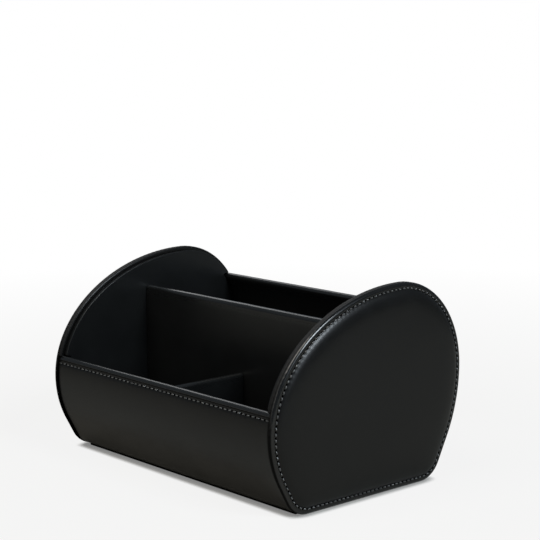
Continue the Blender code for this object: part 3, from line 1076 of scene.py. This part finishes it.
def one_stitch(name, length, radius):
    """A stitch along X with its bow towards +Z."""
    piece = new_piece(name, bpy.ops.mesh.primitive_cylinder_add, vertices=8, radius=radius,
                      depth=length, end_fill_type="NGON")
    pick("edges", lambda edge: abs(edge.verts[0].co.z - edge.verts[1].co.z) > length / 2)
    bpy.ops.mesh.subdivide(number_cuts=5)
    close_piece()
    side, up, along = coordinates(piece).T
    share = np.abs(along) / (length / 2)
    slim = np.sqrt(np.clip(1 - share ** 5, 0.12, 1))
    bow = STITCH_BOW * (0.55 - share ** 2.4)
    set_places(piece, np.stack([along, side * slim, up * slim + bow], axis=1))
    return finish_form(piece)


def lay_thread(name, stitch, seats, seed):
    """Copy the stitch to each (place, direction, normal) seat, and join the copies."""
    copies = []
    for index, (place, way, normal) in enumerate(seats):
        turn = Matrix((way, normal.cross(way), normal)).transposed().to_4x4()
        lean = 0.035 * noise.noise(Vector((index * 1.37, seed, 0)))
        copy = copy_of(stitch)
        copy.data.transform(Matrix.Translation(place) @ turn @ Matrix.Rotation(lean, 4, "Z"))
        copies.append(copy)
    only(copies[0])
    for copy in copies:
        copy.select_set(True)
    bpy.ops.object.join()
    thread = bpy.context.active_object
    thread.name = name
    return thread


# %% Thread of the caps and walls
CAP_STITCH_SINK = 0.00014
WALL_STITCH_SINK = 0.00012
cap_stitch = one_stitch("cap_stitch", *CAP_STITCH_SIZE)
wall_stitch = one_stitch("wall_stitch", *WALL_STITCH_SIZE)


def cap_thread(name, hand, seed):
    seats = []
    for index in range(CAP_STITCHES):
        place, way = STITCH_TRACK.place((index + 0.5) * CAP_PITCH)
        x = hand * (CAP_FLANGE_X - CAP_STITCH_SINK)
        seats.append((Vector((x, place.y, place.z)), way, Vector((hand, 0, 0))))
    return lay_thread(name, cap_stitch, seats, seed)


def wall_thread(name, side, seed):
    point, normal = stitch_row(side)
    xs = [WALL_PITCH * index - CAP_INSIDE_X for index in range(WALL_GAPS + 1)]
    places = [point + Vector((x, 0, 0)) - WALL_STITCH_SINK * normal for x in xs]
    return lay_thread(name, wall_stitch, [(place, Vector((1, 0, 0)), normal) for place in places], seed)


right_thread = cap_thread("right_cap_thread", 1, 1)
left_thread = cap_thread("left_cap_thread", -1, 2)
front_thread = wall_thread("front_wall_thread", FRONT, 3)
back_thread = wall_thread("back_wall_thread", REAR, 4)
bpy.data.objects.remove(cap_stitch)
bpy.data.objects.remove(wall_stitch)
print("thread faces:", len(right_thread.data.polygons), len(front_thread.data.polygons))

# %% [markdown]
# ## Materials
# The leather is smooth, nearly black and satin, so what shows is mostly its reflections: a shallow
# grain of small cells, faint pores and a slightly uneven gloss. It reads the marks that the pieces
# carry. The rims are matt, with a lighter tone painted where they face up as painted light from
# above. The edge of a cap, the beads and the folds are more polished, and the needle holes are
# painted near black as painted shade. All patterns use the piece's own object coordinates.

# %% Node helpers
def wire(tree, node, inputs):
    """Fill a node's sockets: link them to an output, or set them to a number or a colour."""
    for name, value in inputs.items():
        if isinstance(value, bpy.types.NodeSocket):
            tree.links.new(value, node.inputs[name])
        else:
            node.inputs[name].default_value = (*value, 1.0) if isinstance(value, tuple) else value


def add_node(tree, kind, inputs, **settings):
    """Add a shader node, choose its settings, and fill its sockets."""
    node = tree.nodes.new("ShaderNode" + kind)
    for name, value in settings.items():
        setattr(node, name, value)
    wire(tree, node, inputs)
    return node


def new_material(name):
    material = bpy.data.materials.new(name)
    material.use_nodes = True
    tree = material.node_tree
    place = add_node(tree, "TexCoord", {}).outputs["Object"]
    return material, tree, tree.nodes["Principled BSDF"], place


def noise_map(tree, place, scale, detail, roughness=0.5):
    inputs = {"Vector": place, "Scale": scale, "Detail": detail, "Roughness": roughness}
    return add_node(tree, "TexNoise", inputs).outputs["Fac"]


def remap(tree, value, low, high, to_low, to_high):
    inputs = {"Value": value, "From Min": low, "From Max": high, "To Min": to_low, "To Max": to_high}
    return add_node(tree, "MapRange", inputs).outputs["Result"]


def mix_colours(tree, share, first, second):
    return add_node(tree, "Mix", {0: share, 6: first, 7: second}, data_type="RGBA").outputs[2]


def combine(tree, operation, first, second):
    return add_node(tree, "Math", {0: first, 1: second}, operation=operation).outputs[0]


def multiply(tree, first, second):
    return combine(tree, "MULTIPLY", first, second)


def attribute(tree, name):
    return add_node(tree, "Attribute", {}, attribute_name=name).outputs["Fac"]


def bump(tree, height, distance, strength=1.0):
    inputs = {"Height": height, "Distance": distance, "Strength": strength}
    return add_node(tree, "Bump", inputs).outputs["Normal"]


# %% Leather
HOLE_SHARE = 0.12
# Near black painted into the needle holes: painted shade in the holes.
PAINTED_HOLE_SHADE = (0.0005, 0.0005, 0.0005)
GRAIN_SCALE = 1900.0
PORE_SCALE = 2600.0
PATCH_SCALE = 42.0
GRAIN_HEIGHT = 0.000016
GRAIN_STRENGTH = 0.4
MATT_ROUGHER = 0.45
MATT_SPECULAR = 0.25
POLISH_SMOOTHER = -0.13
POLISH_SPECULAR = 0.35


def needle_holes(tree):
    """1 inside the needle holes, which lie at each whole step along a stitched line, and 0 elsewhere."""
    step = combine(tree, "PINGPONG", attribute(tree, "hole_step"), 0.5)
    away = attribute(tree, "hole_away")
    square = combine(tree, "ADD", multiply(tree, step, step), multiply(tree, away, away))
    near = remap(tree, combine(tree, "SQRT", square, 0.0), HOLE_SHARE, 1.7 * HOLE_SHARE, 1.0, 0.0)
    stitched = combine(tree, "GREATER_THAN", attribute(tree, "hole_step"), 0.01)
    return multiply(tree, near, stitched)


def leather(name, dark, light, top_light_tone, rough, specular):
    """Satin leather with its grain, its matt rims with a lighter tone painted where they face up as
    painted light, its polished edges, and painted shade in its needle holes.
    """
    material, tree, shader, place = new_material(name)
    rim = attribute(tree, "rim")
    edge = attribute(tree, "edge")
    hole = needle_holes(tree)
    patches = noise_map(tree, place, PATCH_SCALE, 4.0, 0.55)
    body = mix_colours(tree, patches, dark, light)
    # Where a rim faces up it takes a lighter tone: painted light from above.
    toned = mix_colours(tree, attribute(tree, "painted_top_light"), body, top_light_tone)
    gloss = remap(tree, patches, 0.25, 0.75, rough - 0.05, rough + 0.05)
    dull = multiply(tree, rim, MATT_ROUGHER)
    polish = multiply(tree, edge, POLISH_SMOOTHER)
    shine = remap(tree, rim, 0.0, 1.0, specular, MATT_SPECULAR * specular)
    shine = combine(tree, "ADD", shine, multiply(tree, edge, POLISH_SPECULAR))
    cells = add_node(tree, "TexVoronoi", {"Vector": place, "Scale": GRAIN_SCALE},
                     feature="DISTANCE_TO_EDGE").outputs["Distance"]
    grain = remap(tree, cells, 0.0, 0.30, 0.0, 1.0)
    pores = multiply(tree, noise_map(tree, place, PORE_SCALE, 2.0), 0.5)
    height = combine(tree, "ADD", grain, pores)
    # The needle holes get a near black colour and lose their reflection: painted shade in the holes.
    wire(tree, shader, {
        "Base Color": mix_colours(tree, hole, toned, PAINTED_HOLE_SHADE),
        "Roughness": combine(tree, "ADD", gloss, combine(tree, "ADD", dull, polish)),
        "Specular IOR Level": multiply(tree, shine, combine(tree, "SUBTRACT", 1.0, hole)),
        "Normal": bump(tree, height, GRAIN_HEIGHT, GRAIN_STRENGTH),
    })
    return material


# The third colour is the lighter tone painted where a rim faces up: painted light from above.
BLACK_LEATHER = leather("black_leather", (0.0027, 0.0026, 0.0024), (0.0041, 0.0040, 0.0037),
                        (0.058, 0.057, 0.058), 0.32, 0.38)
LINING_LEATHER = leather("inner_leather", (0.0085, 0.0090, 0.0093), (0.0120, 0.0128, 0.0132),
                         (0.040, 0.040, 0.040), 0.33, 0.36)
print("leathers:", BLACK_LEATHER.name, LINING_LEATHER.name)

# %% [markdown]
# The thread is dark and waxed. It has a strong, tight gloss, so each stitch shows as a light dot
# where a lamp catches it. Felt, board and foam are one kind of matted fibre in three tones.

# %% Thread, felt, board and foam
def thread_material():
    """Waxed thread: fine slanting plies over a glossy surface."""
    material, tree, shader, place = new_material("waxed_thread")
    inputs = {"Vector": place, "Scale": 600.0, "Distortion": 0.6}
    plies = add_node(tree, "TexWave", inputs, wave_type="BANDS", bands_direction="DIAGONAL")
    shade = plies.outputs["Fac"]
    wire(tree, shader, {
        "Base Color": mix_colours(tree, shade, (0.009, 0.009, 0.009), (0.018, 0.018, 0.018)),
        "Roughness": 0.30,
        "Specular IOR Level": 1.0,
        "IOR": 1.8,
        "Normal": bump(tree, shade, 0.00005, 0.5),
    })
    return material


def fibre_material(name, dark, light, scale, rough, distance):
    """Matted fibres: a fine noise for the threads and a broad one for the tone."""
    material, tree, shader, place = new_material(name)
    fibres = noise_map(tree, place, scale, 6.0, 0.65)
    tone = noise_map(tree, place, scale / 14, 3.0)
    share = multiply(tree, combine(tree, "ADD", fibres, tone), 0.5)
    wire(tree, shader, {
        "Base Color": mix_colours(tree, share, dark, light),
        "Roughness": rough,
        "Specular IOR Level": 0.2,
        "Normal": bump(tree, fibres, distance),
    })
    return material


THREAD = thread_material()
FELT = fibre_material("dense_felt", (0.004, 0.004, 0.004), (0.016, 0.016, 0.016), 1800.0, 0.95, 0.0002)
BOARD = fibre_material("pressed_board", (0.22, 0.20, 0.165), (0.38, 0.35, 0.295), 900.0, 0.88, 0.00008)
FOAM = fibre_material("pale_foam", (0.42, 0.41, 0.38), (0.64, 0.63, 0.59), 1400.0, 0.95, 0.0003)
print("materials:", len(bpy.data.materials))

# %% [markdown]
# ## Pieces on the frame
# Each new piece rides on the one body, gets its material, and replaces the solid that it
# stands for. The thread has no solid of its own. Boards and cards that stay as they were packed get
# the board material.

# %% Give every piece its material, body and node
FINISHES = (
    ("outer_leather", BLACK_LEATHER, (
        (right_cap, "right_cap_cover"), (left_cap, "left_cap_cover"),
        (right_facing, "right_cap_facing"), (left_facing, "left_cap_facing"),
        (front_leather, "front_wall_cover"), (back_leather, "back_wall_cover"))),
    ("lining_leather", LINING_LEATHER, (
        (right_panel, "right_side_panel_lining"), (left_panel, "left_side_panel_lining"),
        (front_lining, "front_wall_lining"), (back_lining, "back_wall_lining"),
        (divider_leather, "divider_cover"), (partition_leather, "partition_cover"),
        (floor_left, "front_left_floor_lining"), (floor_right, "front_right_floor_lining"),
        (floor_slot, "tablet_slot_floor_lining"))),
    ("grey_board", BOARD, ((right_board, "right_cap_board"), (left_board, "left_cap_board"))),
    ("pad_foam", FOAM, ((right_foam, "right_cap_foam"), (left_foam, "left_cap_foam"))),
    ("black_felt", FELT, ((sole, "base_sole"),)),
    ("outer_leather", THREAD, (
        (right_thread, None), (left_thread, None), (front_thread, None), (back_thread, None))),
)
triangles = []
for slot, material, pieces in FINISHES:
    for piece, node in pieces:
        piece.data.materials.clear()
        piece.data.materials.append(material)
        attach(piece, "root")
        if node:
            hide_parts(node)
        triangles.append(sum(len(face.vertices) - 2 for face in piece.data.polygons))
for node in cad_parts.values():
    if not node.hide_render:
        node.data.materials.clear()
        node.data.materials.append(BOARD)
print("pieces:", len(triangles), "triangles:", sum(triangles))

# %% [markdown]
# ## Camera, floor and light
# The camera stands low at the front right corner, about a metre away, with a long lens. Its place
# and directions were solved from the outlines in the photograph.

# %% Camera
CAMERA_PLACE = Vector((0.701166, -0.607468, 0.266331))
CAMERA_RIGHT = Vector((0.66474561, 0.74705801, -0.00419577))
CAMERA_UP = Vector((-0.11397452, 0.10696393, 0.98770873))
CAMERA_BACK = Vector((0.73832451, -0.65609683, 0.15624938))
CAMERA_LENS = 102.76

camera = bpy.data.objects.new("camera", bpy.data.cameras.new("camera"))
bpy.context.scene.collection.objects.link(camera)
facing = Matrix((CAMERA_RIGHT, CAMERA_UP, CAMERA_BACK)).transposed().to_4x4()
camera.matrix_world = Matrix.Translation(CAMERA_PLACE) @ facing
camera.data.lens = CAMERA_LENS
camera.data.sensor_width = 36.0
camera.data.clip_start = 0.01
bpy.context.scene.camera = camera
print("camera at", [round(value, 3) for value in CAMERA_PLACE])

# %% [markdown]
# The floor's own colour is a plain pale grey, which the leather mirrors. To the camera it glows
# almost white, a little less near the object, so that the soft shadow stays, and least in the thin
# line where the base touches it. The world is white to the camera, and otherwise it only adds a
# pale blue to glossy reflections.
#
# Black leather shows lamps as highlights, so each lamp is placed for one. The small key draws the
# thin line on the cap's edge and the gleam on the pad's shoulder, which the broad side softbox
# widens. The two front ones light the front wall and its top, and the left one lights the beads.

# %% Floor and world
FLOOR_PALE = (0.57, 0.56, 0.52)
SHADOW_REACH = 0.20
CONTACT_REACH = 0.006
NEAR_GLOW = 0.86
CONTACT_GLOW = 0.25
WORLD_BLUE = (0.76, 0.88, 1.0)
WORLD_GLOSS = 0.16


def blend_surface(tree, share, first, second, output):
    """Mix two shaders by a share, and make the mix the surface."""
    inputs = {0: share, 1: first.outputs[0], 2: second.outputs[0]}
    wire(tree, tree.nodes[output], {"Surface": add_node(tree, "MixShader", inputs).outputs[0]})


def add_floor():
    floor = new_piece("floor", bpy.ops.mesh.primitive_plane_add, size=12.0)
    close_piece()
    material, tree, shader, place = new_material("white_floor")
    wire(tree, shader, {"Base Color": FLOOR_PALE, "Roughness": 0.9, "Specular IOR Level": 0.1})
    away = add_node(tree, "VectorMath", {0: place}, operation="LENGTH").outputs["Value"]
    glow = remap(tree, away, SHADOW_REACH, 4 * SHADOW_REACH, NEAR_GLOW, 1.0)
    touch = add_node(tree, "AmbientOcclusion", {"Distance": CONTACT_REACH}).outputs["AO"]
    glow = multiply(tree, glow, remap(tree, touch, 0.45, 0.85, CONTACT_GLOW, 1.0))
    share = multiply(tree, add_node(tree, "LightPath", {}).outputs["Is Camera Ray"], glow)
    blend_surface(tree, share, shader, add_node(tree, "Emission", {}), "Material Output")
    floor.data.materials.append(material)


def add_world():
    world = bpy.data.worlds.new("studio")
    bpy.context.scene.world = world
    world.use_nodes = True
    tree = world.node_tree
    seen = tree.nodes["Background"]
    wire(tree, seen, {"Color": (1, 1, 1), "Strength": 1.0})
    path = add_node(tree, "LightPath", {}).outputs
    strength = multiply(tree, path["Is Glossy Ray"], WORLD_GLOSS)
    soft = add_node(tree, "Background", {"Color": WORLD_BLUE, "Strength": strength})
    blend_surface(tree, path["Is Camera Ray"], soft, seen, "World Output")


add_floor()
add_world()
print("floor and world made")

# %% Lamps
OBJECT_MIDDLE = Vector((0, 0, 0.06))
LAMPS = (
    ("key_softbox", (1.147, 0.060, 1.024), (0.45, 0.4), 10.5, (0.84, 0.93, 1.0)),
    ("side_softbox", (1.312, 0.184, 0.764), (1.0, 0.7), 2.4, (0.80, 0.90, 1.0)),
    ("front_softbox", (-0.359, -1.439, 0.659), (0.8, 0.6), 1.5, (1.0, 0.97, 0.90)),
    ("front_top_softbox", (-0.061, -0.702, 1.384), (0.8, 0.8), 7.6, (1.0, 0.96, 0.88)),
    ("left_softbox", (-1.110, 0.400, 0.920), (0.6, 0.5), 1.4, (1, 1, 1)),
)
for name, place, size, power, colour in LAMPS:
    lamp = bpy.data.objects.new(name, bpy.data.lights.new(name, "AREA"))
    bpy.context.scene.collection.objects.link(lamp)
    lamp.data.shape = "RECTANGLE"
    lamp.data.size, lamp.data.size_y = size
    lamp.data.energy = power
    lamp.data.color = colour
    back = Vector(place) - OBJECT_MIDDLE
    lamp.matrix_world = Matrix.Translation(place) @ back.to_track_quat("Z", "Y").to_matrix().to_4x4()
print("lamps:", len(LAMPS))

scene = bpy.context.scene
scene.view_settings.view_transform = "Standard"
